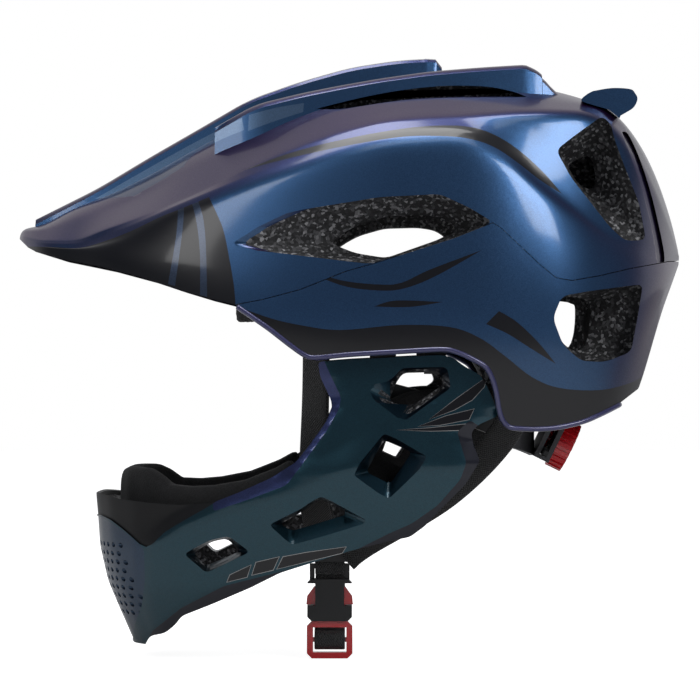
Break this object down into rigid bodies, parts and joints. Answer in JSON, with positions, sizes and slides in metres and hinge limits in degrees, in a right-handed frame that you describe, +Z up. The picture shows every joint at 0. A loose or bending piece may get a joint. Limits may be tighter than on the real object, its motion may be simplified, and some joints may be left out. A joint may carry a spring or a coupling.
{
  "type": "full face bicycle helmet",
  "caption": "Open, vented full face downhill bicycle helmet with built-in peak, detachable chin guard, nape dial and buckled chin strap.",
  "frame": {"origin": "crown contact of the wearer's head, inside the liner, on the middle plane", "axes": "-X forward to the peak, +Z up, -Y to the wearer's left"},
  "size_m": [0.327, 0.2036, 0.2969],
  "materials": {
    "painted_shell": "colour-shift lacquer over moulded polycarbonate, clear coat",
    "guard_paint": "colour-shift lacquer over moulded nylon, clear coat",
    "black_gloss": "gloss black moulding",
    "black_plastic": "fine satin moulding",
    "grey_plastic": "satin dark grey moulding",
    "red_plastic": "bright red moulding",
    "eps_foam": "expanded bead foam, dark grey",
    "violet_trim": "violet-blue moulded trim",
    "webbing": "woven polyester webbing",
    "pad_fabric": "brushed knit over open foam"
  },
  "bodies": {
    "helmet": {"upper_shell": "painted_shell", "lower_shell": "painted_shell", "eps_liner": "eps_foam", "guard_sockets": "black_plastic", "front_strap_left": "webbing", "front_strap_right": "webbing", "rear_strap_left": "webbing", "rear_strap_right": "webbing", "divider_left": "black_plastic", "divider_right": "black_plastic", "buckle_socket": "black_plastic", "buckle_plug": "red_plastic", "webbing_link": "webbing", "chin_webbing": "webbing", "strap_anchors": "black_plastic", "rim_bead_left": "violet_trim", "rim_bead_right": "violet_trim", "temple_pivot_left": "black_plastic", "temple_pivot_right": "black_plastic", "side_pad_left": "pad_fabric", "side_pad_right": "pad_fabric", "crown_pad": "pad_fabric", "brow_pad": "pad_fabric", "nape_pad": "pad_fabric"},
    "chin_guard": {"guard_shell": "guard_paint", "guard_lip": "black_gloss", "guard_grille": "black_plastic", "guard_foam": "eps_foam", "guard_bow_pad": "pad_fabric", "cheek_pad_left": "pad_fabric", "cheek_pad_right": "pad_fabric", "guard_tongues": "black_plastic"},
    "cradle": {"cradle": "grey_plastic", "band_left": "black_plastic", "band_right": "black_plastic"},
    "dial": {"dial": "red_plastic"},
    "rack_left": {"rack_left": "black_plastic"},
    "rack_right": {"rack_right": "black_plastic"},
    "prong_front": {"prong_front": "red_plastic"},
    "prong_rear": {"prong_rear": "red_plastic"}
  },
  "joints": [
    {"name": "guard_unplug", "type": "slide", "parent": "helmet", "child": "chin_guard", "axis": [0, 0, -1], "range_m": [0, 0.07]},
    {"name": "cradle_tilt", "type": "hinge", "parent": "helmet", "child": "cradle", "pos_m": [-0.042, 0, -0.126], "axis": [0, 1, 0], "range_deg": [-3, 3]},
    {"name": "dial_turn", "type": "hinge", "parent": "cradle", "child": "dial", "pos_m": [0.0665, 0, -0.1575], "axis": [0.8988, 0, -0.4384], "range_deg": [-90, 90]},
    {"name": "rack_left_slide", "type": "slide", "parent": "cradle", "child": "rack_left", "axis": [0, 1, 0], "range_m": [-0.009, 0.009]},
    {"name": "rack_right_slide", "type": "slide", "parent": "cradle", "child": "rack_right", "axis": [0, 1, 0], "range_m": [-0.009, 0.009]},
    {"name": "prong_front_squeeze", "type": "hinge", "parent": "helmet", "child": "prong_front", "pos_m": [-0.0547, -0.024, -0.2425], "axis": [0, 1, 0], "range_deg": [0, 6], "stiffness_Nm_per_rad": 0.08},
    {"name": "prong_rear_squeeze", "type": "hinge", "parent": "helmet", "child": "prong_rear", "pos_m": [-0.0453, -0.024, -0.2425], "axis": [0, -1, 0], "range_deg": [0, 6], "stiffness_Nm_per_rad": 0.08}
  ],
  "couplings": [
    {"joint": "rack_left_slide", "follows": "dial_turn", "m_per_rad": 0.005},
    {"joint": "rack_right_slide", "follows": "dial_turn", "m_per_rad": -0.005}
  ]
}
